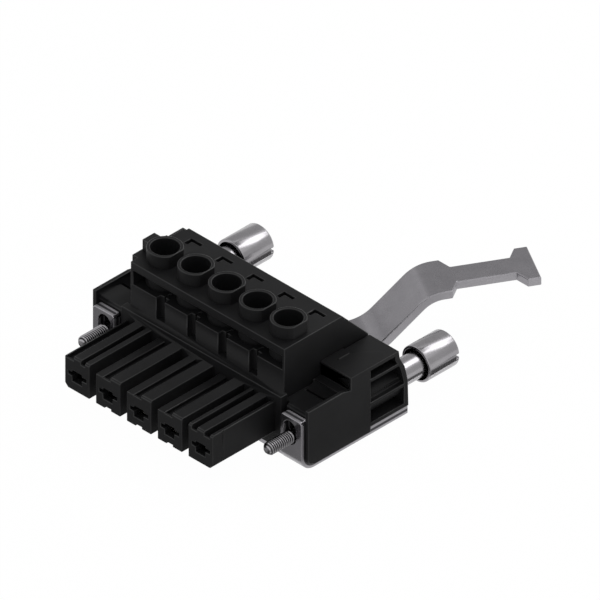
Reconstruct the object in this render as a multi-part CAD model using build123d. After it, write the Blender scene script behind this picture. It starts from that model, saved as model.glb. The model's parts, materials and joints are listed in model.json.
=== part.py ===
"""Five-pole PCB plug connector with screw flanges and a shield plate.

X runs along the row of poles, -Y is the mating direction, Z is up.
X = 0 is the middle pole, Y = 0 is the plane of the clamp screws and
Z = 0 is the underside of the shield plate. All sizes are in millimetres.
"""
from build123d import *
from math import radians, tan
import os

os.makedirs("parts", exist_ok=True)

# Row of poles
poles = 5
pitch = 7.62
row_x = [(i - (poles - 1) / 2) * pitch for i in range(poles)]
row_half = (poles - 1) / 2 * pitch
fit_gap = 0.03
slide_gap = 0.15

# Shield plate and its ears
sheet = 1.75
flange_screw_x = row_half + pitch
ear_inner_x = flange_screw_x - 2.36
ear_outer_x = flange_screw_x + 2.91
ear_front_y = -7.38
ear_top_z = 10.65
ear_corner_r = 0.7
ear_relief = 0.5
bend_inner_r = 1.45
plate_front_y = -5.5
plate_rear_y = 18.95
ear_slot_half = 1.45
ear_slot_rise = 1.85

# Shield arm
arm_turn = 30.0
arm_slope = 45.0
arm_foot_x = 5.41
arm_foot_y = 29.13
arm_rise = 9.94
arm_half = 4.9
arm_crest = 4.3
arm_shoulder = 1.45
neck_half = 2.4
neck_length = 10.7
tee_length = 2.4
arm_lower_r = 7.0
arm_upper_r = 6.9
arm_root = 16.0

# Housing body
body_half_x = row_half + 3.74
body_front_y = -4.77
body_top_z = 21.9
body_rear_y = 16.0
body_slope_y = 9.56
body_slope_z = 15.1
apron_over_x = 0.76
apron_front_y = -6.37
ledge_z = 12.85
slab_thick = 1.7
block_top_z = 17.3
recess_depth = 2.9
recess_end = 0.6
groove_from = 2.59
groove_width = 2.05
groove_depth = 1.15
slit_from = 3.44
slit_width = 0.3
slit_depth = 2.5
side_hook_out = 1.3
side_hook_y0 = -3.1
side_hook_y1 = 5.4
side_step_out = 0.57
side_step_y = 8.9
lug_out = 1.0
lug_y0 = -0.9
lug_y1 = 2.1
lug_inner = 1.6
lug_height = 2.3

# Chimneys over the clamp screws
chimney_r = 3.3
chimney_bore_r = 2.65
chimney_top_z = 24.58
chimney_flat = 2.92

# Test-point pockets behind the chimneys
test_x0 = -1.25
test_x1 = 1.55
test_y0 = 5.9
test_y1 = 7.8
test_leg = 0.8
test_foot = 0.7
test_depth = 2.4

# Fingers that hold the contact sockets
finger_half = 3.0
finger_front_y = -21.72
finger_bottom_z = 4.25
finger_top_z = 11.35
finger_chamfer = 0.74
finger_lead = 0.3
finger_front_wall = 1.6
finger_line_y = -19.05
finger_line = 0.15
socket_half_x = 2.3
socket_bottom_z = 4.75
socket_top_z = 9.55
socket_axis_z = 7.2
mouth_half_x = 2.25
mouth_slot_z0 = 7.15
mouth_slot_z1 = 7.95
mouth_cross_x0 = -1.25
mouth_cross_x1 = 1.1
mouth_cross_z0 = 6.05
mouth_cross_z1 = 8.4
strip_drop = 0.8
groove_drop = 1.5
groove_front_drop = 0.9
groove_web = 0.5
end_ledge_drop = 0.65
first_cuts = [(-finger_half, -2.73, end_ledge_drop), (-2.73, -0.91, groove_drop), (0.89, 1.89, groove_drop)]
middle_cuts = [(-finger_half, -1.35, strip_drop), (-1.35, 0.52, groove_drop)]
last_cuts = [(-2.24, -0.94, groove_drop), (0.86, 2.26, groove_drop)]
notch_x0 = -0.8
notch_x1 = 0.7
notch_rise = 0.4
notch_length = 1.2

# Clamp chamber, screw and yoke of each pole
chamber_half_x = 2.95
chamber_half_y = 2.7
chamber_floor_z = 2.6
yoke_half_x = chamber_half_x - slide_gap
yoke_half_y = 2.5
yoke_wall = 0.6
yoke_floor = 1.1
yoke_top = 2.0
yoke_floor_z = 2.8
yoke_travel = 4.0
wire_entry_half_x = 2.4
wire_entry_bottom_z = 3.8
wire_funnel = 0.55
wire_funnel_depth = 2.6
bar_half_x = 1.9
bar_thick = 0.8
bar_bottom_z = socket_axis_z + 1.2
bar_rear_y = 4.2
screw_r = 1.5
screw_head_r = 2.05
screw_head_h = 2.2
head_guide_r = 2.2
head_guide_over = 0.15
screw_slot_w = 0.8
screw_slot_d = 1.1
screw_bar_gap = 0.1
screw_run = 0.05
web_thick = 1.6
over = 1.0

# Contact sockets
leaf_front_y = -19.9
leaf_touch_y = -17.9
leaf_thick = 0.5
leaf_gap = 0.45
leaf_flare = 0.5
leaf_slit = 0.4
leaf_root_y = -8.6
spring_thick = 0.27
spring_band_y0 = -11.6
spring_band_y1 = -8.9
spring_tongue_w = 2.4

# Flange blocks
flange_inner_x = body_half_x + 0.05
flange_front_y = ear_front_y + sheet + 0.05
flange_floor_z = 11.45
flange_wall_out = 0.87
flange_wall_front_y = -6.48
flange_wall_top_z = 13.05
flange_wall_bottom_z = 0.87
flange_wall_inner_x = ear_outer_x + 0.05
flange_outer_x = ear_outer_x + flange_wall_out
pad_inner_x = body_half_x + 0.62
pad_front_y = 0.15
pad_rear_y = 2.1
pad_top_z = 12.35
pad_groove = 0.4
pad_groove_drop = 0.8
pad_slit = 0.25
pad_slit_drop = 0.4
step_floor_z = 12.25
step_y = 4.05
step_recess_z0 = 12.6
step_recess_z1 = 14.65
step_recess_in = 0.7
step_recess_end = 0.75
flange_top_z = 15.17
flange_rear_y = 15.86
flange_bend_z = 13.6
flange_bend_y = flange_rear_y + 0.2
flange_slope_z = 11.3
flange_slope_y = flange_rear_y + 1.45
flange_foot_y = 18.25
flange_low_y = flange_foot_y - 0.15
flange_low_z = 7.9
flange_gap = 0.35
flange_gap_y = 9.7
flange_gap_z = 11.0
mark_x = body_half_x + 2.0
mark_half = 0.14
mark_y0 = 6.6
mark_y1 = 9.2
mark_rise = 0.12
pocket_front_y = 8.94
pocket_depth = 2.8
pocket_rim = 0.75
pocket_wall = 1.1
rib_thick = 0.6
rib_one_z = 12.55
rib_two_z = 7.57
rim_bottom_z = 3.3
rim_under_z = 2.46
screw_tube_wall = 0.6
rail_y0 = 2.0
rail_y1 = 7.0
rail_depth = 1.3
rail_flare = 0.6
rail_top_z = 10.6

# Flange screws
flange_screw_z = 6.55
thread_r = 1.25
thread_tip_y = -13.1
thread_rear_y = ear_front_y - 0.05
tip_chamfer = 0.55
shank_r = 1.0
shank_bore_r = 1.5
sleeve_r = 2.47
sleeve_bore_r = 1.35
sleeve_front_y = 13.6
sleeve_rear_y = 24.25
cup_r = 3.55
cup_mouth_y = 23.8
cup_rear_y = 31.3
cup_wall = 0.5
cup_floor = 2.0
cup_edge_r = 0.35
cup_slot_w = 1.0
cup_slot_d = 1.0


def block(x0, x1, y0, y1, z0, z1):
    """A rectangular block between two corners."""
    size = (x1 - x0, y1 - y0, z1 - z0)
    return Pos((x0 + x1) / 2, (y0 + y1) / 2, (z0 + z1) / 2) * Box(*size)


def side_profile(points, x0, x1):
    """Extrude an outline given as (y, z) points from x0 to x1."""
    face = Plane.YZ * make_face(Polyline(*points, close=True))
    return Pos(x0, 0, 0) * extrude(face, amount=x1 - x0)


def plan_profile(points, z0, z1):
    """Extrude an outline given as (x, y) points from z0 to z1."""
    face = make_face(Polyline(*points, close=True))
    return Pos(0, 0, z0) * extrude(face, amount=z1 - z0)


def upright(r, x, y, z0, z1):
    """A cylinder along Z."""
    return Pos(x, y, (z0 + z1) / 2) * Cylinder(r, z1 - z0)


def lying(r, x, z, y0, y1):
    """A cylinder along Y."""
    return Pos(x, (y0 + y1) / 2, z) * Rot(90, 0, 0) * Cylinder(r, y1 - y0)


def turned(points, x, z):
    """Turn an outline of (radius, y) points about an axis along Y."""
    face = make_face(Polyline(*points, close=True))
    return Pos(x, 0, z) * revolve(face, Axis.Y)


def both_sides(solid):
    """The solid and its mirror image across the middle pole."""
    return solid, mirror(solid, Plane.YZ)


# Heights that follow from the sizes above
screw_tip_z = bar_bottom_z + bar_thick + screw_bar_gap
yoke_top_z = screw_tip_z + 0.2
chamber_top_z = yoke_top_z + yoke_top + yoke_travel + 0.2
seat_z = chamber_top_z + web_thick
plate_top_z = sheet


def finger(i, x):
    """One contact finger: a ribbed bar, hollow for the socket."""
    first = i == 0
    last = i == poles - 1
    y1 = apron_front_y + 0.5
    bar = block(x - finger_half, x + finger_half, finger_front_y, y1, finger_bottom_z, finger_top_z)
    lower = bar.edges().filter_by(Axis.Y).group_by(Axis.Z)[0].sort_by(Axis.X)
    if first or last:
        bar = chamfer(lower[0] if first else lower[-1], finger_chamfer)
    bar = chamfer(bar.faces().sort_by(Axis.Y)[0].edges().sort_by(Axis.Z)[-1], finger_lead)
    front = finger_front_y
    top = finger_top_z
    for x0, x1, drop in first_cuts if first else last_cuts if last else middle_cuts:
        shallow = min(drop, groove_front_drop)
        bar -= block(x + x0, x + x1, front - over, y1 + over, top - shallow, top + over)
        if drop > shallow:
            bar -= block(x + x0, x + x1, front + groove_web, y1 + over, top - drop, top + over)
    if last:
        side = x + finger_half
        bar -= block(side - finger_line, side + over, finger_line_y - finger_line, finger_line_y,
                     finger_bottom_z - over, top + over)
    if not first and not last:
        low = finger_bottom_z
        bar -= block(x + notch_x0, x + notch_x1, front - over, front + notch_length,
                     low - over, low + notch_rise)
    return bar


def clamp_cuts(x):
    """The open space of one pole: chamber, screw bore, wire entry, socket."""
    entry_top = bar_bottom_z - 0.1
    half = wire_entry_half_x
    low = wire_entry_bottom_z
    cuts = block(x - chamber_half_x, x + chamber_half_x, -chamber_half_y, chamber_half_y,
                 chamber_floor_z, chamber_top_z)
    guide_top = seat_z + screw_head_h + head_guide_over
    cuts += upright(head_guide_r, x, 0, seat_z, guide_top + 0.1)
    cuts += upright(chimney_bore_r, x, 0, guide_top, chimney_top_z + over)
    cuts += upright(screw_r + 0.25, x, 0, chamber_top_z - 0.1, seat_z + 0.1)
    cuts += block(x - half, x + half, 0, body_rear_y + over, low, entry_top)
    mid = (low + entry_top) / 2
    tall = entry_top - low
    inner = Plane.XZ.offset(-(body_rear_y - wire_funnel_depth)) * Pos(x, mid) * Rectangle(2 * half, tall)
    outer = Plane.XZ.offset(-body_rear_y) * Pos(x, mid) * Rectangle(
        2 * (half + wire_funnel), tall + 2 * wire_funnel)
    cuts += loft([inner, outer])
    cuts += block(x - bar_half_x - 0.1, x + bar_half_x + 0.1, apron_front_y, bar_rear_y + 0.1,
                  bar_bottom_z - 0.1, bar_bottom_z + bar_thick + 0.1)
    cuts += block(x - socket_half_x, x + socket_half_x, finger_front_y + finger_front_wall,
                  apron_front_y + 1.2, socket_bottom_z, socket_top_z)
    y0 = finger_front_y - over
    y1 = finger_front_y + finger_front_wall + 0.1
    cuts += block(x - mouth_half_x, x + mouth_half_x, y0, y1, mouth_slot_z0, mouth_slot_z1)
    cuts += block(x + mouth_cross_x0, x + mouth_cross_x1, y0, y1, mouth_cross_z0, mouth_cross_z1)
    return cuts


def make_housing():
    """The black moulding that carries the contacts and the clamps."""
    profile = [
        (body_front_y, plate_top_z),
        (body_front_y, body_top_z),
        (body_slope_y, body_top_z),
        (body_rear_y, body_slope_z),
        (body_rear_y, plate_top_z),
    ]
    body = side_profile(profile, -body_half_x, body_half_x)
    body += block(-body_half_x - apron_over_x, body_half_x + apron_over_x, apron_front_y,
                  body_front_y, plate_top_z, ledge_z)
    slab_low = body_top_z - slab_thick
    recess = block(-body_half_x + recess_end, body_half_x - recess_end, body_front_y - 1,
                   body_front_y + recess_depth, block_top_z, slab_low)
    for x in row_x:
        recess -= upright(chimney_r + 0.1, x, 0, block_top_z, slab_low)
    body -= recess
    for x in row_x[:-1]:
        body -= block(x + groove_from, x + groove_from + groove_width, body_front_y - 0.01,
                      body_front_y + groove_depth, ledge_z, block_top_z + 0.1)
        body -= block(x + slit_from, x + slit_from + slit_width, body_front_y,
                      body_front_y + slit_depth, ledge_z, block_top_z + 0.1)
    end_x = -body_half_x
    inside = end_x + 0.1
    body += block(end_x - side_hook_out, inside, side_hook_y0, side_hook_y1, slab_low, body_top_z)
    body += block(end_x - side_step_out, inside, side_hook_y1 - 0.1, side_step_y, slab_low, body_top_z)
    body += block(end_x - lug_out, end_x + lug_inner, lug_y0, lug_y1, slab_low, body_top_z + lug_height)
    for i, x in enumerate(row_x):
        tower = upright(chimney_r, x, 0, block_top_z, chimney_top_z)
        tower -= block(x + chimney_flat, x + chimney_r + over, -chimney_r - over, chimney_r + over,
                       body_top_z, chimney_top_z + over)
        body += tower
        body += finger(i, x)
        hole = [
            (x + test_x0, test_y0),
            (x + test_x0 + test_leg, test_y0),
            (x + test_x0 + test_leg, test_y1 - test_foot),
            (x + test_x1, test_y1 - test_foot),
            (x + test_x1, test_y1),
            (x + test_x0, test_y1),
        ]
        body -= plan_profile(hole, body_top_z - test_depth, body_top_z + over)
    for x in row_x:
        body -= clamp_cuts(x)
    for rail in both_sides(rail_solid(0.0)):
        body += rail
    return body


def rail_solid(gap):
    """The dovetail rail on the housing's end, grown by a clearance."""
    x0 = body_half_x - 0.2
    x1 = body_half_x + rail_depth + gap
    points = [
        (x0, rail_y0 + rail_flare - gap),
        (x0, rail_y1 - rail_flare + gap),
        (x1, rail_y1 + gap),
        (x1, rail_y0 - gap),
    ]
    return plan_profile(points, plate_top_z, rail_top_z + gap)


def make_flange():
    """The right flange block, which guides one flange screw."""
    foot_z = plate_top_z
    lead = bend_inner_r + 0.3
    core = [
        (flange_front_y + lead, foot_z),
        (flange_front_y, foot_z + lead),
        (flange_front_y, flange_floor_z - 0.4),
        (flange_front_y + 0.4, flange_floor_z),
        (pad_rear_y, flange_floor_z),
        (pad_rear_y, step_floor_z),
        (step_y, step_floor_z),
        (step_y, flange_top_z),
        (flange_rear_y, flange_top_z),
        (flange_bend_y, flange_bend_z),
        (flange_slope_y, flange_slope_z),
        (flange_low_y, flange_low_z),
        (flange_foot_y, foot_z),
    ]
    block_solid = side_profile(core, flange_inner_x, flange_wall_inner_x)
    block_solid += side_profile(
        [(y, max(z, rim_under_z)) for y, z in core[7:]] + [(step_y, rim_under_z)],
        flange_wall_inner_x - 0.01, flange_outer_x)
    wall = [
        (flange_wall_front_y, flange_wall_bottom_z + 2.3),
        (flange_wall_front_y, flange_wall_top_z),
        (pad_rear_y, flange_wall_top_z),
        (step_y, flange_wall_top_z - 0.5),
        (pocket_front_y, flange_wall_top_z - 0.5),
        (pocket_front_y, flange_wall_bottom_z),
        (flange_wall_front_y + 2.3, flange_wall_bottom_z),
        (flange_wall_front_y + 0.67, flange_wall_bottom_z + 0.67),
    ]
    block_solid += side_profile(wall, flange_wall_inner_x, flange_outer_x)
    ramp = [
        (pad_front_y, flange_floor_z - 0.1),
        (pad_front_y, flange_floor_z + 0.1),
        (pad_rear_y, pad_top_z),
        (pad_rear_y, flange_floor_z - 0.1),
    ]
    block_solid += side_profile(ramp, pad_inner_x, flange_wall_inner_x + 0.1)
    block_solid -= block(pad_inner_x, flange_wall_inner_x, pad_front_y - pad_groove, pad_front_y,
                         flange_floor_z - pad_groove_drop, flange_floor_z + over)
    block_solid -= block(pad_inner_x - pad_slit, flange_wall_inner_x, pad_rear_y, pad_rear_y + pad_slit,
                         step_floor_z - pad_slit_drop, step_floor_z + over)
    block_solid -= block(flange_inner_x + 0.2, flange_outer_x - step_recess_end, step_y - over,
                         step_y + step_recess_in, step_recess_z0, step_recess_z1)
    block_solid -= block(flange_inner_x - over, flange_inner_x + flange_gap, flange_gap_y,
                         flange_foot_y + over, flange_gap_z, flange_top_z + over)
    block_solid += block(mark_x - mark_half, mark_x + mark_half, mark_y0, mark_y1,
                         flange_top_z - 0.1, flange_top_z + mark_rise)
    block_solid -= block(flange_inner_x - over, ear_inner_x - 0.2, flange_front_y - over,
                         body_front_y + 0.07, foot_z - over, ledge_z + over)
    tube_r = sleeve_r + screw_tube_wall
    tube = lying(tube_r, flange_screw_x, flange_screw_z, pocket_front_y, flange_foot_y)
    pocket_x = flange_outer_x - pocket_depth
    rear = [
        (flange_rear_y - pocket_rim, flange_top_z - pocket_rim),
        (flange_bend_y - pocket_wall, flange_bend_z),
        (flange_slope_y - pocket_wall, flange_slope_z),
        (flange_foot_y - pocket_wall, flange_low_z),
        (flange_foot_y - pocket_wall, rim_bottom_z),
    ]
    hollow = side_profile(
        [(pocket_front_y, rim_bottom_z), (pocket_front_y, flange_top_z - pocket_rim)] + rear,
        pocket_x, flange_outer_x + over)
    for z in (rib_one_z, rib_two_z):
        hollow -= block(pocket_x - over, flange_outer_x + 2 * over, pocket_front_y - over,
                        flange_foot_y, z - rib_thick, z)
    hollow -= tube
    block_solid -= hollow
    block_solid -= lying(shank_bore_r, flange_screw_x, flange_screw_z,
                         flange_front_y - over, flange_foot_y + over)
    block_solid -= lying(sleeve_r + fit_gap, flange_screw_x, flange_screw_z,
                         sleeve_front_y, flange_foot_y + over)
    block_solid -= rail_solid(0.05)
    return block_solid


def make_plate():
    """The folded shield plate with its two ears and its arm."""
    outer_r = bend_inner_r + sheet
    back_y = ear_front_y + sheet
    start_y = ear_front_y + outer_r
    middle_x = ear_inner_x - ear_relief
    plate = block(-middle_x, middle_x, plate_front_y, start_y + 1, 0, sheet)
    plate += block(-ear_outer_x, ear_outer_x, start_y, plate_rear_y, 0, sheet)
    with BuildSketch(Plane.YZ) as fold:
        with BuildLine():
            Polyline((ear_front_y, outer_r), (ear_front_y, ear_top_z), (back_y, ear_top_z),
                     (back_y, outer_r))
            RadiusArc((back_y, outer_r), (start_y, sheet), -bend_inner_r)
            Polyline((start_y, sheet), (start_y + 1, sheet), (start_y + 1, 0), (start_y, 0))
            RadiusArc((start_y, 0), (ear_front_y, outer_r), outer_r)
        make_face()
    ear = Pos(ear_inner_x, 0, 0) * extrude(fold.sketch, amount=ear_outer_x - ear_inner_x)
    ear = fillet(ear.edges().filter_by(Axis.Y).group_by(Axis.Z)[-1], ear_corner_r)
    plate += ear
    plate += mirror(ear, Plane.YZ)
    for side in (-1, 1):
        x = side * flange_screw_x
        z = flange_screw_z
        y0 = ear_front_y - over
        y1 = back_y + over
        plate -= lying(ear_slot_half, x, z, y0, y1)
        plate -= lying(ear_slot_half, x, z + ear_slot_rise, y0, y1)
        plate -= block(x - ear_slot_half, x + ear_slot_half, y0, y1, z, z + ear_slot_rise)
    return plate + make_arm()


def make_arm():
    """The arm: a folded strip in side view, cut to its outline in plan."""
    half_turn = tan(radians(arm_slope / 2))
    run = arm_rise / tan(radians(arm_slope))
    end = run + arm_crest + 2 * arm_shoulder + neck_length + tee_length
    shift = sheet * half_turn
    top = FilletPolyline((-arm_root, sheet), (0, sheet), (run, sheet + arm_rise),
                         (end, sheet + arm_rise), radius=[arm_lower_r, arm_upper_r])
    bottom = FilletPolyline((-arm_root, 0), (shift, 0), (run + shift, arm_rise),
                            (end, arm_rise), radius=[arm_lower_r + sheet, arm_upper_r - sheet])
    caps = [Line(top @ 0, bottom @ 0), Line(top @ 1, bottom @ 1)]
    profile = make_face([top, bottom] + caps)
    strip = extrude(Plane.XZ * profile, amount=arm_half, both=True)
    crest = run + arm_crest
    neck = crest + arm_shoulder
    tee = neck + neck_length
    outline = [
        (-arm_root, arm_half),
        (crest, arm_half),
        (neck, neck_half),
        (tee, neck_half),
        (tee + arm_shoulder, arm_half),
        (end, arm_half),
    ]
    outline += [(a, -b) for a, b in reversed(outline)]
    arm = strip & plan_profile(outline, -over, arm_rise + sheet + over)
    return Pos(arm_foot_x, arm_foot_y, 0) * Rot(0, 0, 90 - arm_turn) * arm


def make_flange_screw(x):
    """A captive flange screw: slotted cup head, shank and threaded tip."""
    floor_y = cup_rear_y - cup_floor
    inner_r = cup_r - cup_wall
    points = [
        (0, thread_tip_y),
        (thread_r - tip_chamfer, thread_tip_y),
        (thread_r, thread_tip_y + tip_chamfer),
        (thread_r, thread_rear_y),
        (shank_r, thread_rear_y + 0.3),
        (shank_r, floor_y),
        (inner_r, floor_y),
        (inner_r, cup_mouth_y),
        (cup_r - 0.15, cup_mouth_y),
        (cup_r, cup_mouth_y + 0.15),
        (cup_r, cup_rear_y - cup_edge_r),
        (cup_r - cup_edge_r, cup_rear_y),
        (0, cup_rear_y),
    ]
    screw = turned(points, x, flange_screw_z)
    z = flange_screw_z
    screw -= block(x - cup_r - over, x + cup_r + over, cup_rear_y - cup_slot_d, cup_rear_y + over,
                   z - cup_slot_w / 2, z + cup_slot_w / 2)
    return screw


def make_sleeve(x):
    """The metal sleeve pressed into the block, on which the cup head runs."""
    points = [
        (sleeve_bore_r, sleeve_front_y),
        (sleeve_r, sleeve_front_y),
        (sleeve_r, sleeve_rear_y),
        (sleeve_bore_r, sleeve_rear_y),
    ]
    return turned(points, x, flange_screw_z)


def make_contact(x):
    """One contact: the clamp bar and the two sprung leaves of its socket."""
    bar_top = bar_bottom_z + bar_thick
    bar = block(x - bar_half_x, x + bar_half_x, leaf_root_y, bar_rear_y, bar_bottom_z, bar_top)
    mirror_z = 2 * socket_axis_z
    low_top = mirror_z - bar_bottom_z
    bar += block(x - bar_half_x, x + bar_half_x, leaf_root_y, apron_front_y + 0.9,
                 mirror_z - bar_top, low_top)
    bar += block(x - bar_half_x, x - bar_half_x + leaf_thick, leaf_root_y, apron_front_y + 0.9,
                 mirror_z - bar_top, bar_top)
    touch = socket_axis_z + leaf_gap
    leaf = [
        (leaf_root_y + 0.01, bar_top),
        (leaf_root_y + 0.01, bar_top - leaf_thick),
        (leaf_touch_y, touch),
        (leaf_front_y, touch + leaf_flare),
        (leaf_front_y, touch + leaf_flare + leaf_thick),
        (leaf_touch_y, touch + leaf_thick),
    ]
    mirrored = [(y, mirror_z - z) for y, z in leaf]
    for outline in (leaf, mirrored):
        bar += side_profile(outline, x - bar_half_x, x + bar_half_x)
    bar -= block(x - leaf_slit / 2, x + leaf_slit / 2, leaf_front_y - over, leaf_root_y - 2.0,
                 socket_bottom_z, socket_top_z)
    return bar


def leaf_top(y):
    """Height of the outer face of the upper leaf at a place along it."""
    bar_top = bar_bottom_z + bar_thick
    share = (leaf_root_y - y) / (leaf_root_y - leaf_touch_y)
    return bar_top + share * (socket_axis_z + leaf_gap + leaf_thick - bar_top)


def make_spring(x):
    """The over-spring: a band round the socket with a tongue on each leaf."""
    half = bar_half_x + fit_gap
    high = leaf_top(spring_band_y1) + fit_gap
    low = 2 * socket_axis_z - high
    out = spring_thick
    band = block(x - half - out, x + half + out, spring_band_y0, spring_band_y1, low - out, high + out)
    band -= block(x - half, x + half, spring_band_y0 - over, spring_band_y1 + over, low, high)
    end_y = leaf_touch_y + 1.2
    tip = leaf_top(end_y) + fit_gap
    tongue = [
        (spring_band_y1, high + out),
        (spring_band_y1, high),
        (spring_band_y0, high),
        (end_y, tip),
        (end_y, tip + out),
        (spring_band_y0, high + out),
    ]
    mirrored = [(y, 2 * socket_axis_z - z) for y, z in tongue]
    for outline in (tongue, mirrored):
        band += side_profile(outline, x - spring_tongue_w / 2, x + spring_tongue_w / 2)
    return band


def make_yoke(x):
    """One clamping yoke: a steel cage whose floor lifts the wire to the bar."""
    top = yoke_top_z + yoke_top
    cage = block(x - yoke_half_x, x + yoke_half_x, -yoke_half_y, yoke_half_y, yoke_floor_z, top)
    cage = chamfer(cage.edges().filter_by(Axis.Y), 0.4)
    cage -= block(x - yoke_half_x + yoke_wall, x + yoke_half_x - yoke_wall, -yoke_half_y - over,
                  yoke_half_y + over, yoke_floor_z + yoke_floor, yoke_top_z)
    cage -= upright(screw_r + screw_run, x, 0, yoke_top_z - over, top + over)
    return cage


def make_clamp_screw(x):
    """One slotted clamp screw, which turns in the seat under its chimney."""
    top = seat_z + screw_head_h
    screw = upright(screw_r, x, 0, screw_tip_z, seat_z + 0.1)
    screw += upright(screw_head_r, x, 0, seat_z, top)
    screw -= block(x - screw_head_r - over, x + screw_head_r + over, -screw_slot_w / 2,
                   screw_slot_w / 2, top - screw_slot_d, top + over)
    return screw


def save(name, solid):
    """Write one node to its own file."""
    export_step(solid, "parts/" + name + ".step")


save("housing", make_housing())
right_flange, left_flange = both_sides(make_flange())
save("flange_right", right_flange)
save("flange_left", left_flange)
save("shield_plate", make_plate())
for name, x in (("left", -flange_screw_x), ("right", flange_screw_x)):
    save("flange_screw_" + name, make_flange_screw(x))
    save("flange_sleeve_" + name, make_sleeve(x))
for i, x in enumerate(row_x):
    number = str(i + 1)
    save("contact_" + number, make_contact(x))
    save("contact_spring_" + number, make_spring(x))
    save("clamp_yoke_" + number, make_yoke(x))
    save("clamp_screw_" + number, make_clamp_screw(x))
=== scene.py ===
"""Looks of a five-pole PCB plug with screw flanges and a shield plate.

Lengths are in millimetres, and MM turns them to metres where they are used.
X runs along the row of poles, -Y is the mating direction and Z is up.
"""

import json
from math import cos, pi, radians, sin

import bmesh
import bpy
import numpy as np
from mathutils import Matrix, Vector


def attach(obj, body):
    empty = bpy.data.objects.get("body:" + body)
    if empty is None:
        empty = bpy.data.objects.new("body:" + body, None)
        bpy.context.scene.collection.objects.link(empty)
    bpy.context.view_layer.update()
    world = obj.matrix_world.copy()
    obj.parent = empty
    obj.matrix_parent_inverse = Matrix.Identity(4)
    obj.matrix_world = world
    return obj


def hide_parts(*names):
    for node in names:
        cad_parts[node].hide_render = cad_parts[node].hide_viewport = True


MM = 0.001
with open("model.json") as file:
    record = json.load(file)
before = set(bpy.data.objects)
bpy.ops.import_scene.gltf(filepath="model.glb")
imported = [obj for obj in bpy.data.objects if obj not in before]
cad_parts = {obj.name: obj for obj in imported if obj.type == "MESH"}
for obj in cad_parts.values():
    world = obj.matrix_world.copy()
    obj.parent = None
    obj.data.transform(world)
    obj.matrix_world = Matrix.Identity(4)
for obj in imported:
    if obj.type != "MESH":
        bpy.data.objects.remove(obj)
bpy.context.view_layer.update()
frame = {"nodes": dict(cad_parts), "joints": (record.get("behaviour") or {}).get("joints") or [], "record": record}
nodes = frame["nodes"]

# Camera: a parallel view, 45 degrees to the right of the mating side. The picture
# is VIEW_WIDTH wide, with VIEW_POINT in its middle
VIEW_TURN = radians(45.0)
VIEW_RISE = radians(35.0)
VIEW_WIDTH = 104.69
VIEW_POINT = (9.03, 9.03, 20.71)
VIEW_DISTANCE = 400.0
VIEW_NEAR = 1.0
VIEW_FAR = 10000.0

# Poles, and where each body that turns has its joint, from the frame
POLES = sum(name.startswith("clamp_yoke_") for name in nodes)
TURNS_AT = {joint["child"]: joint["pos_m"] for joint in frame["joints"] if joint["type"] == "hinge"}
SCREW_Z = TURNS_AT["flange_screw_right_body"][2] / MM

# Thread at the front of a flange screw, where the solid is a plain cylinder of its outer radius
MOUNTS = {mount["name"]: mount for mount in frame["record"]["mounts"]}
THREAD_R = MOUNTS["flange_thread_right"]["dims"]["r_mm"]
THREAD_PITCH = 0.45
THREAD_DEPTH = 0.27
THREAD_TIP_Y = -13.1
THREAD_REAR_Y = -7.43
TIP_CHAMFER = 0.55
# Flat parts of the thread's profile, as shares of the pitch
CREST_FLAT = 0.125
ROOT_FLAT = 0.25
# The core inside the thread is thinner than its root, ends behind its tip and
# starts a little behind its rear end
CORE_GAP = 0.1
CORE_SHORTER = 0.4
CORE_OVERLAP = 0.1

# Shield sheet and the bend of its ears, repeated from the part's source
SHEET = 1.75
BEND_INNER_R = 1.45
EAR_FRONT_Y = -7.38
EAR_TOP_FROM_Z = 10.0
PLATE_REAR_Y = 18.95

# Outer wall of a flange block, repeated from the part's source, and its lifted edge
WALL_FROM_X = 25.7
WALL_FRONT_Y = -6.48
WALL_REAR_Y = 8.98
WALL_OLD_Z = 0.87
WALL_OLD_R = 2.3
WALL_LOW_Z = 1.47
WALL_CORNER_R = 1.3

# Widths of the edge rounding
MOULDED_EDGE = 0.12
TURNED_EDGE = 0.08
CLAMP_SCREW_EDGE = 0.06
YOKE_EDGE = 0.1
SHEET_EDGE = 0.6
# Shares of the sheet's width that are used on the plate, at the upright corners
# of the arm's outline and along the arm
PLATE_SHARE = 0.3
ARM_CORNER_SHARE = 0.15
ARM_SHARE = 0.45
# The plate's share reaches this far past its rear edge, over the start of the arm
PLATE_REACH = 1.0
# A raised mark on each flange block lies above this height and stays unrounded
FLANGE_MARK_Z = 15.2

# Clean-up and shading of the meshes, with angles in degrees
MERGE_WITHIN = 0.0002
FLAT_WITHIN = 0.6
ROUNDED_FROM = 38.0
SHARP_FROM = 35.0
THREAD_SHARP_FROM = 50.0
# Two lengths this near are the same
NEAR = 0.01
# Parts of a unit vector below and above these count as none and as all of it
NONE_BELOW = 0.1
ALL_ABOVE = 0.9

# Floor and light: FLOOR_WHITE is the share of the floor's colour that is plain
# white, and the rest takes the shadow
FLOOR_HALF = 3000.0
FLOOR_Z = -0.02
CARD_Z = 0.05
FLOOR_WHITE = 0.985
STUDIO_LIGHT = 0.78


def linear(hex_colour):
    """An sRGB hex value as linear red, green and blue with an alpha of one."""
    parts = [int(hex_colour[i : i + 2], 16) / 255 for i in (1, 3, 5)]
    return tuple(c / 12.92 if c <= 0.04045 else ((c + 0.055) / 1.055) ** 2.4 for c in parts) + (1.0,)


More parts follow.
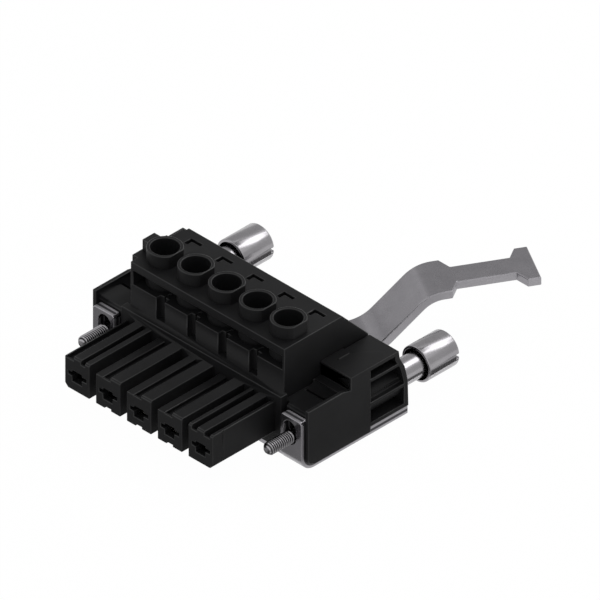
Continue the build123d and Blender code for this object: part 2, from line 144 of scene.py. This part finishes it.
def add(tree, kind, sockets=None, ramp=None, **settings):
    """Add one node to a tree.

    sockets maps the name or number of an input to its value, or to the output
    that is linked into it. ramp is a list of colour stops (place, colour), and
    settings are the node's own attributes.
    """
    node = tree.nodes.new("ShaderNode" + kind)
    for key, value in settings.items():
        setattr(node, key, value)
    for key, value in (sockets or {}).items():
        if isinstance(value, bpy.types.NodeSocket):
            tree.links.new(value, node.inputs[key])
        else:
            node.inputs[key].default_value = value
    if ramp:
        stops = node.color_ramp.elements
        for end, (place, colour) in ((0, ramp[0]), (1, ramp[-1])):
            stops[end].position = place
            stops[end].color = colour
        for place, colour in ramp[1:-1]:
            stops.new(place).color = colour
    return node


def new_material(name):
    """An empty node material, its tree and its output node."""
    material = bpy.data.materials.new(name)
    material.use_nodes = True
    tree = material.node_tree
    tree.nodes.clear()
    return material, tree, add(tree, "OutputMaterial")


def per_metre(per_millimetre):
    """The scale of a pattern in metres from how many of its features fit in a millimetre."""
    return per_millimetre / MM


def moulded_polyamide(name, dark, light, rough, level):
    """Black glass-filled polyamide, injection moulded.

    A spark-eroded mould leaves a fine satin grain, and the glass fibres leave
    faint grey flow clouds 5.6 mm across. rough is the pair of roughness limits
    and level the strength of the gloss.
    """
    material, tree, out = new_material(name)
    place = add(tree, "TexCoord").outputs["Object"]
    clouds = add(tree, "TexNoise", {
        "Vector": place, "Scale": per_metre(0.18), "Detail": 3.0, "Roughness": 0.6,
    })
    colour = add(tree, "ValToRGB", {"Fac": clouds.outputs["Fac"]},
                 ramp=[(0.35, linear(dark)), (0.65, linear(light))])
    # The real grain is about 0.05 mm, drawn at 0.16 mm so that it shows
    grain = add(tree, "TexNoise", {
        "Vector": place, "Scale": per_metre(6.2), "Detail": 2.0, "Roughness": 0.55,
    })
    spread = add(tree, "MapRange", {"Value": grain.outputs["Fac"], "To Min": rough[0], "To Max": rough[1]})
    bump = add(tree, "Bump", {"Height": grain.outputs["Fac"], "Strength": 0.16, "Distance": 0.02 * MM})
    shader = add(tree, "BsdfPrincipled", {
        "Base Color": colour.outputs["Color"],
        "Roughness": spread.outputs["Result"],
        "Normal": bump.outputs["Normal"],
        "IOR": 1.53,
        "Specular IOR Level": level,
    })
    tree.links.new(shader.outputs[0], out.inputs["Surface"])
    return material


def metal(name, dark, light, rough, marks, depth, marked=None):
    """A metal finish: two tones in soft clouds 3.8 mm across, and fine marks.

    rough is the pair of roughness limits. marks is how many marks there are in
    a millimetre along X, Y and Z, so that a small value draws them long that
    way, and depth is the strength of their relief. marked, where given, is an
    attribute's name, a function that makes the colour of the metal where the
    attribute is one, and the added roughness there.
    """
    material, tree, out = new_material(name)
    place = add(tree, "TexCoord").outputs["Object"]
    clouds = add(tree, "TexNoise", {
        "Vector": place, "Scale": per_metre(0.26), "Detail": 4.0, "Roughness": 0.6,
    })
    colour = add(tree, "ValToRGB", {"Fac": clouds.outputs["Fac"]},
                 ramp=[(0.3, linear(dark)), (0.7, linear(light))])
    drawn = add(tree, "Mapping", {"Vector": place, "Scale": [per_metre(count) for count in marks]})
    relief = add(tree, "TexNoise", {
        "Vector": drawn.outputs["Vector"], "Scale": 1.0, "Detail": 3.0, "Roughness": 0.65,
    })
    spread = add(tree, "MapRange", {"Value": relief.outputs["Fac"], "To Min": rough[0], "To Max": rough[1]})
    bump = add(tree, "Bump", {"Height": relief.outputs["Fac"], "Strength": depth, "Distance": 0.01 * MM})
    tone, roughness = colour.outputs["Color"], spread.outputs["Result"]
    if marked:
        attribute, marked_colour, rougher = marked
        where = add(tree, "Attribute", attribute_name=attribute).outputs["Fac"]
        mixed = add(tree, "MixRGB", {"Fac": where, "Color1": tone, "Color2": marked_colour(tree, place)})
        raised = add(tree, "Math", {0: where, 1: rougher, 2: roughness}, operation="MULTIPLY_ADD")
        tone, roughness = mixed.outputs["Color"], raised.outputs["Value"]
    shader = add(tree, "BsdfPrincipled", {
        "Base Color": tone,
        "Roughness": roughness,
        "Normal": bump.outputs["Normal"],
        "Metallic": 1.0,
    })
    tree.links.new(shader.outputs[0], out.inputs["Surface"])
    return material


def sheared_edge(tree, place):
    """The colour across a sheared edge: pale next to both skins, with a dull band where it tore.

    The place in the thickness is the distance in from the sheet's outer skin,
    over the bend too: the bend's outer radius less the length of the vector
    (bend centre - place) in Y and Z, each part held at zero or more.
    """
    outer = BEND_INNER_R + SHEET
    centre = (0.0, (EAR_FRONT_Y + outer) * MM, outer * MM)
    turned = add(tree, "VectorMath", {0: place, 1: (0.0, -1.0, -1.0), 2: centre}, operation="MULTIPLY_ADD")
    held = add(tree, "VectorMath", {0: turned.outputs[0]}, operation="MAXIMUM")
    r = add(tree, "VectorMath", {0: held.outputs[0]}, operation="LENGTH").outputs["Value"]
    across = add(tree, "MapRange", {"Value": r, "From Min": outer * MM, "From Max": BEND_INNER_R * MM})
    pale, torn = linear("#a9a7ab"), linear("#49484b")
    return add(tree, "ValToRGB", {"Fac": across.outputs["Result"]},
               ramp=[(0.30, pale), (0.36, torn), (0.62, torn), (0.68, pale)]).outputs["Color"]


def thread_root_painted_shade(tree, place):
    """The colour in the thread's roots, painted dark as the shade that falls in the grooves, in clouds of 1.1 mm.
    """
    clouds = add(tree, "TexNoise", {"Vector": place, "Scale": per_metre(0.9), "Detail": 2.0})
    return add(tree, "ValToRGB", {"Fac": clouds.outputs["Fac"]},
               ramp=[(0.3, linear("#1e1d1f")), (0.7, linear("#2a292b"))]).outputs["Color"]


polyamide = moulded_polyamide(
    "moulded_black_polyamide", "#131314", "#171718", rough=(0.42, 0.58), level=0.15)
# Along its outer edges a paler colour paints the thin edge highlight, on a smoother and glossier skin
polyamide_painted_edge_highlight = moulded_polyamide(
    "moulded_polyamide_painted_edge_highlight", "#1a1a1b", "#1f1f20", rough=(0.32, 0.44), level=0.32)
# Tin-plated steel sheet, rolled and stamped: a satin grey with faint marks, and
# paler, rougher edges where the press sheared it
plated_sheet = metal(
    "tin_plated_sheet_steel", "#8b898d", "#949296", rough=(0.22, 0.30),
    marks=(0.9, 0.9, 0.9), depth=0.04, marked=("sheared", sheared_edge, 0.3))
# Nickel-plated turned steel: bright, with tool rings 0.11 mm apart round the axis
turned_nickel = metal(
    "nickel_plated_turned_steel", "#989699", "#a19fa2", rough=(0.18, 0.26),
    marks=(0.15, 9, 0.15), depth=0.10)
# The same plating on the rolled thread, with painted shade darkening its roots
threaded_nickel = metal(
    "nickel_plated_rolled_thread", "#a9a7aa", "#b4b2b5", rough=(0.18, 0.26),
    marks=(0.15, 9, 0.15), depth=0.05, marked=("root", thread_root_painted_shade, 0.2))
# Zinc-plated and clear-passivated steel: bluish and a little dull
zinc_steel = metal(
    "zinc_plated_steel", "#83878a", "#909498", rough=(0.25, 0.38),
    marks=(1.5, 1.5, 1.5), depth=0.10)
# Tin-plated copper alloy strip, stamped: a warm grey, with fine marks along the row
tinned_alloy = metal(
    "tin_plated_copper_alloy", "#b9b2a4", "#c9c2b4", rough=(0.22, 0.32),
    marks=(0.3, 4, 4), depth=0.08)
# Stainless spring strip, cold rolled bright
spring_strip = metal(
    "stainless_spring_strip", "#a8a6a2", "#bab8b4", rough=(0.18, 0.26),
    marks=(0.3, 4, 4), depth=0.08)


def placed(name, data):
    """A new object in the scene for a mesh, a lamp or a camera."""
    obj = bpy.data.objects.new(name, data)
    bpy.context.scene.collection.objects.link(obj)
    return obj


def mesh_object(name, verts, faces):
    """A new mesh object from points in metres and faces."""
    mesh = bpy.data.meshes.new(name)
    mesh.from_pydata(verts, [], faces)
    mesh.validate()
    return placed(name, mesh)


def give(obj, material):
    """Make material the object's only one."""
    obj.data.materials.clear()
    obj.data.materials.append(material)


def smooth(obj, sharp_from):
    """Shade an object smoothly, but for edges that turn by more than sharp_from degrees."""
    obj.data.shade_smooth()
    obj.data.set_sharp_from_angle(angle=radians(sharp_from))


def weigh_edges(made, share, convex_only):
    """Give each edge that gets rounded its share of the width, as a bevel weight."""
    weight = made.edges.layers.float.new("bevel_weight_edge")
    for edge in made.edges:
        sharp = edge.is_manifold and edge.calc_face_angle() > radians(ROUNDED_FROM)
        if sharp and (edge.is_convex or not convex_only):
            start, end = (vert.co / MM for vert in edge.verts)
            edge[weight] = share((start + end) / 2, (end - start).normalized()) if share else 1.0


def softened(node, name, width, material, body,
             segments=2, shape=None, share=None, edge_material=None):
    """A merged copy of a CAD node whose sharp edges are rounded.

    width is the rounding's, and segments its number of faces. shape, where
    given, moves or marks the copy's points first. share, where given, takes an
    edge's middle and its direction, and gives the part of width used there.
    edge_material, where given, is for the rounded edges, and then only outer
    edges are rounded.
    """
    made = bmesh.new()
    made.from_mesh(nodes[node].data)
    bmesh.ops.remove_doubles(made, verts=made.verts, dist=MERGE_WITHIN * MM)
    bmesh.ops.dissolve_limit(
        made, angle_limit=radians(FLAT_WITHIN), verts=made.verts, edges=made.edges)
    made.normal_update()
    if shape:
        shape(made)
    weigh_edges(made, share, convex_only=edge_material is not None)
    mesh = bpy.data.meshes.new(name)
    made.to_mesh(mesh)
    made.free()
    obj = placed(name, mesh)
    smooth(obj, SHARP_FROM)
    rounding = obj.modifiers.new("edge_rounding", "BEVEL")
    rounding.width = width * MM
    rounding.segments = segments
    rounding.limit_method = "WEIGHT"
    rounding.use_clamp_overlap = False
    rounding.miter_outer = "MITER_ARC"
    rounding.harden_normals = edge_material is None
    give(obj, material)
    if edge_material:
        obj.data.materials.append(edge_material)
        rounding.material = 1
        obj.modifiers.new("flat_faces", "WEIGHTED_NORMAL").keep_sharp = True
    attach(obj, body)
    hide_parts(node)


def raised_wall(made):
    """Lift the lower edge of a flange block's outer wall, so that the sheet's edge shows under it.

    The wall's lowest points rise to WALL_LOW_Z. Its front lower corner is two
    chords of an arc, which becomes one of radius WALL_CORNER_R: the arc's
    middle point lies radius * (1 - cos 45) in from both sides.
    """
    inset = WALL_CORNER_R * (1 - cos(radians(45.0)))
    for vert in made.verts:
        y, z = vert.co.y / MM, vert.co.z / MM
        on_wall = abs(vert.co.x / MM) >= WALL_FROM_X and y <= WALL_REAR_Y
        if not on_wall or z > WALL_OLD_Z + WALL_OLD_R + NEAR:
            continue
        front = y - WALL_FRONT_Y
        if z < WALL_OLD_Z + NEAR:
            z = WALL_LOW_Z
            if front < WALL_OLD_R + NEAR:
                y = WALL_FRONT_Y + WALL_CORNER_R
        elif front < NEAR:
            z = WALL_LOW_Z + WALL_CORNER_R
        elif front < WALL_OLD_R / 2:
            y, z = WALL_FRONT_Y + inset, WALL_LOW_Z + inset
        vert.co.y, vert.co.z = y * MM, z * MM


def below_mark(middle, along):
    """All of a flange block's edge rounding below its raised mark, and none on the mark."""
    return float(middle.z < FLANGE_MARK_Z)


def sheared_edges(made):
    """Mark the cut edges of the sheet: its upright sides and the tops of the ears."""
    sheared = made.faces.layers.float.new("sheared")
    for face in made.faces:
        middle, normal = face.calc_center_median() / MM, face.normal
        side = abs(normal.x) > NONE_BELOW and abs(normal.z) < NONE_BELOW
        top = normal.z > ALL_ABOVE and middle.z > EAR_TOP_FROM_Z and middle.y < 0.0
        face[sheared] = float(side or top)


def sheet_rounding(middle, along):
    """The part of the sheet's edge rounding used at an edge.

    It is even on the plate, and on the arm it is least at the upright corners
    of the outline.
    """
    if middle.y < PLATE_REAR_Y + PLATE_REACH:
        return PLATE_SHARE
    return ARM_CORNER_SHARE if abs(along.z) > ALL_ABOVE else ARM_SHARE


def thread_core(x):
    """A function that thins the screw's plain tip to a core inside the helical thread.

    Every point ahead of the thread's rear end has its distance from the
    screw's axis limited to a little less than the root radius.
    """
    limit = THREAD_R - THREAD_DEPTH - CORE_GAP

    def thin(made):
        for vert in made.verts:
            if vert.co.y / MM < THREAD_REAR_Y + CORE_OVERLAP:
                across, up = vert.co.x / MM - x, vert.co.z / MM - SCREW_Z
                part = limit / max(np.hypot(across, up), limit)
                vert.co.x = (x + across * part) * MM
                vert.co.z = (SCREW_Z + up * part) * MM
                vert.co.y = max(vert.co.y, (THREAD_TIP_Y + CORE_SHORTER) * MM)

    return thin


def helical_thread(name, x, body):
    """The screw's thread.

    Over a grid of turn angle a and place y along the axis, the radius is the
    root radius plus the thread's depth times a triangle wave of (y / pitch -
    a / full turn), cut flat for an eighth of the pitch at the crest and a
    quarter at the root as on a metric thread. It is never more than the cone
    of the tip's chamfer, and both ends close to a point on the axis. The
    attribute root is one at the root and zero at the crest.
    """
    around, per_pitch = 72, 16
    rings = int((THREAD_REAR_Y - THREAD_TIP_Y) / THREAD_PITCH * per_pitch) + 1
    y = np.linspace(THREAD_TIP_Y, THREAD_REAR_Y, rings)
    a = np.arange(around) * 2 * pi / around
    yy, aa = np.meshgrid(y, a, indexing="ij")
    phase = (yy / THREAD_PITCH - aa / (2 * pi)) % 1.0
    flank = 1.0 - ROOT_FLAT - CREST_FLAT
    wave = np.clip((np.abs(2 * phase - 1) - ROOT_FLAT) / flank, 0, 1)
    cone = THREAD_R - TIP_CHAMFER + (yy - THREAD_TIP_Y)
    r = np.minimum(THREAD_R - THREAD_DEPTH * (1 - wave), cone)
    points = np.stack([x + r * np.sin(aa), yy, SCREW_Z + r * np.cos(aa)], axis=-1).reshape(-1, 3)
    ends = np.array([[x, y[0], SCREW_Z], [x, y[-1], SCREW_Z]])
    verts = np.vstack([points, ends]) * MM
    i, j = np.meshgrid(np.arange(rings - 1) * around, np.arange(around), indexing="ij")
    k = (j + 1) % around
    quads = np.stack([i + j, i + k, i + around + k, i + around + j], axis=-1).reshape(-1, 4)
    ring = np.arange(around)
    turn = (ring + 1) % around
    rear = (rings - 1) * around
    front_cap = np.stack([np.full(around, len(points)), turn, ring], axis=-1)
    rear_cap = np.stack([np.full(around, len(points) + 1), rear + ring, rear + turn], axis=-1)
    faces = quads.tolist() + front_cap.tolist() + rear_cap.tolist()
    obj = mesh_object(name, verts, faces)
    smooth(obj, THREAD_SHARP_FROM)
    give(obj, threaded_nickel)
    root = obj.data.attributes.new("root", "FLOAT", "POINT")
    root.data.foreach_set("value", np.append(1 - wave.ravel(), (0.0, 0.0)).astype(np.float32))
    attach(obj, body)


def dress_plug_body():
    """The housing's moulding and the shield sheet."""
    softened("housing", "housing_moulding", MOULDED_EDGE, polyamide, "plug_body",
             edge_material=polyamide_painted_edge_highlight)
    softened("shield_plate", "shield_sheet", SHEET_EDGE, plated_sheet, "plug_body",
             segments=5, shape=sheared_edges, share=sheet_rounding)


def dress_flange(side):
    """One flange block with its sleeve, its screw and the screw's thread."""
    softened(f"flange_{side}", f"flange_moulding_{side}", MOULDED_EDGE, polyamide,
             "plug_body",
             shape=raised_wall, share=below_mark, edge_material=polyamide_painted_edge_highlight)
    softened(f"flange_sleeve_{side}", f"sleeve_turned_{side}", TURNED_EDGE, turned_nickel,
             "plug_body")
    body = f"flange_screw_{side}_body"
    x = TURNS_AT[body][0] / MM
    softened(f"flange_screw_{side}", f"screw_turned_{side}", TURNED_EDGE, turned_nickel,
             body, shape=thread_core(x))
    helical_thread(f"screw_thread_{side}", x, body)


def dress_clamp(number):
    """One pole: its contact, over-spring, clamp screw and yoke."""
    give(nodes[f"contact_{number}"], tinned_alloy)
    give(nodes[f"contact_spring_{number}"], spring_strip)
    softened(f"clamp_screw_{number}", f"clamp_screw_head_{number}", CLAMP_SCREW_EDGE, zinc_steel,
             f"clamp_screw_{number}_body")
    softened(f"clamp_yoke_{number}", f"yoke_bent_{number}", YOKE_EDGE, zinc_steel,
             f"clamp_yoke_{number}_body")


def white_backdrop(tree, lit, share):
    """A shader that is white to the eye and in reflections, over one that takes light."""
    path = add(tree, "LightPath").outputs
    seen = add(tree, "Math", {0: path["Is Camera Ray"], 1: path["Is Glossy Ray"]}, operation="MAXIMUM")
    seen = add(tree, "Math", {0: seen.outputs[0], 1: path["Is Transmission Ray"]}, operation="MAXIMUM")
    part = add(tree, "Math", {0: seen.outputs[0], 1: share}, operation="MULTIPLY")
    kind = "Background" if lit.bl_idname == "ShaderNodeBackground" else "Emission"
    white = add(tree, kind, {"Color": (1.0, 1.0, 1.0, 1.0), "Strength": 1.0})
    return add(tree, "MixShader", {0: part.outputs[0], 1: lit.outputs[0], 2: white.outputs[0]})


def make_floor():
    """A white floor far wider than the view, which keeps a faint shadow."""
    half, low = FLOOR_HALF * MM, FLOOR_Z * MM
    corners = [(-half, -half, low), (half, -half, low), (half, half, low), (-half, half, low)]
    floor = mesh_object("floor", corners, [(0, 1, 2, 3)])
    material, tree, out = new_material("white_paper_floor")
    paper = add(tree, "BsdfDiffuse", {"Color": (0.95, 0.95, 0.95, 1.0)})
    shader = white_backdrop(tree, paper, FLOOR_WHITE)
    tree.links.new(shader.outputs[0], out.inputs["Surface"])
    give(floor, material)


def make_world():
    """Even studio light, white to the eye."""
    world = bpy.data.worlds.new("studio")
    bpy.context.scene.world = world
    world.use_nodes = True
    tree = world.node_tree
    tree.nodes.clear()
    out = add(tree, "OutputWorld")
    soft = add(tree, "Background", {"Color": (1.0, 1.0, 1.0, 1.0), "Strength": STUDIO_LIGHT})
    shader = white_backdrop(tree, soft, 1.0)
    tree.links.new(shader.outputs[0], out.inputs["Surface"])


def soft_lamp(name, place, aim, width, power):
    """A square area lamp at place that points at aim. power is in watts."""
    data = bpy.data.lights.new(name, "AREA")
    data.size = width * MM
    data.energy = power
    lamp = placed(name, data)
    lamp.location = Vector(place) * MM
    lamp.rotation_mode = "QUATERNION"
    lamp.rotation_quaternion = (Vector(aim) - Vector(place)).to_track_quat("-Z", "Y")
    lamp.visible_camera = False


def reflection_card(name, place, aim, size, level):
    """A grey card that only shiny surfaces show, as in a studio.

    It is flat, as wide and high as size, centred at place and faces the point
    aim. level is its brightness, where one is white.
    """
    across, up = size[0] / 2 * MM, size[1] / 2 * MM
    turn = (Vector(aim) - Vector(place)).to_track_quat("Z", "Y")
    corners = [(-across, -up, 0), (across, -up, 0), (across, up, 0), (-across, up, 0)]
    verts = [turn @ Vector(corner) + Vector(place) * MM for corner in corners]
    card = mesh_object(name, verts, [(0, 1, 2, 3)])
    material, tree, out = new_material(name + "_paper")
    glow = add(tree, "Emission", {"Color": (level, level, level, 1.0), "Strength": 1.0})
    tree.links.new(glow.outputs[0], out.inputs["Surface"])
    give(card, material)
    card.visible_camera = False
    card.visible_diffuse = False
    card.visible_shadow = False
    card.visible_transmission = False


def floor_card(name, corners, level):
    """A reflection card that lies on the floor between two corners (x, y, x, y)."""
    x0, y0, x1, y1 = corners
    middle = ((x0 + x1) / 2, (y0 + y1) / 2, CARD_Z)
    above = (middle[0], middle[1], CARD_Z + 1)
    reflection_card(name, middle, above, (x1 - x0, y1 - y0), level)


def make_camera():
    """The parallel camera at the photograph's angle."""
    data = bpy.data.cameras.new("camera")
    data.type = "ORTHO"
    data.ortho_scale = VIEW_WIDTH * MM
    data.clip_start = VIEW_NEAR * MM
    data.clip_end = VIEW_FAR * MM
    camera = placed("camera", data)
    run = cos(VIEW_RISE)
    back = Vector((sin(VIEW_TURN) * run, -cos(VIEW_TURN) * run, sin(VIEW_RISE)))
    camera.location = (Vector(VIEW_POINT) + back * VIEW_DISTANCE) * MM
    camera.rotation_mode = "QUATERNION"
    camera.rotation_quaternion = (-back).to_track_quat("-Z", "Y")
    bpy.context.scene.camera = camera


dress_plug_body()
for flange_side in ("left", "right"):
    dress_flange(flange_side)
for pole in range(1, POLES + 1):
    dress_clamp(pole)

make_floor()
make_world()
# One soft lamp, high behind the plug and to its right
soft_lamp("key_lamp", place=(98, 292, 371), aim=(15, 25, 8), width=240, power=0.5)

# Cards round the object that give flat and round metal its darker bands
PLUG_MIDDLE = (0, 0, 10)
reflection_card("zenith_card", place=(-120, 90, 570), aim=PLUG_MIDDLE, size=(560, 200), level=0.03)
reflection_card("rear_left_card", place=(-434, 406, 371), aim=PLUG_MIDDLE, size=(700, 600), level=0.6)
reflection_card("horizon_card", place=(324, 232, 130), aim=(0, 0, 130), size=(700, 280), level=0.7)

# Strips on the floor beside each cup head, a dark one and a bright line next to it,
# which the head's underside reflects
floor_card("floor_dark_card", (28.4, 22, 36, 42), level=0.12)
floor_card("floor_line_card", (27.4, 22, 28.4, 42), level=2.0)
floor_card("floor_dark_card_left", (-17.3, 25, -9.7, 42), level=0.12)
floor_card("floor_line_card_left", (-18.3, 25, -17.3, 42), level=2.0)

# Greys in front, on the right and on the left, for the ears, the thread and the sheet's edges
floor_card("floor_front_card", (-45, -60, 26, -8), level=0.35)
floor_card("floor_side_card", (27.7, -60, 70, 21.5), level=0.4)
reflection_card("left_card", place=(-500, -60, 130), aim=PLUG_MIDDLE, size=(400, 330), level=0.75)
make_camera()
bpy.context.scene.view_settings.view_transform = "Standard"
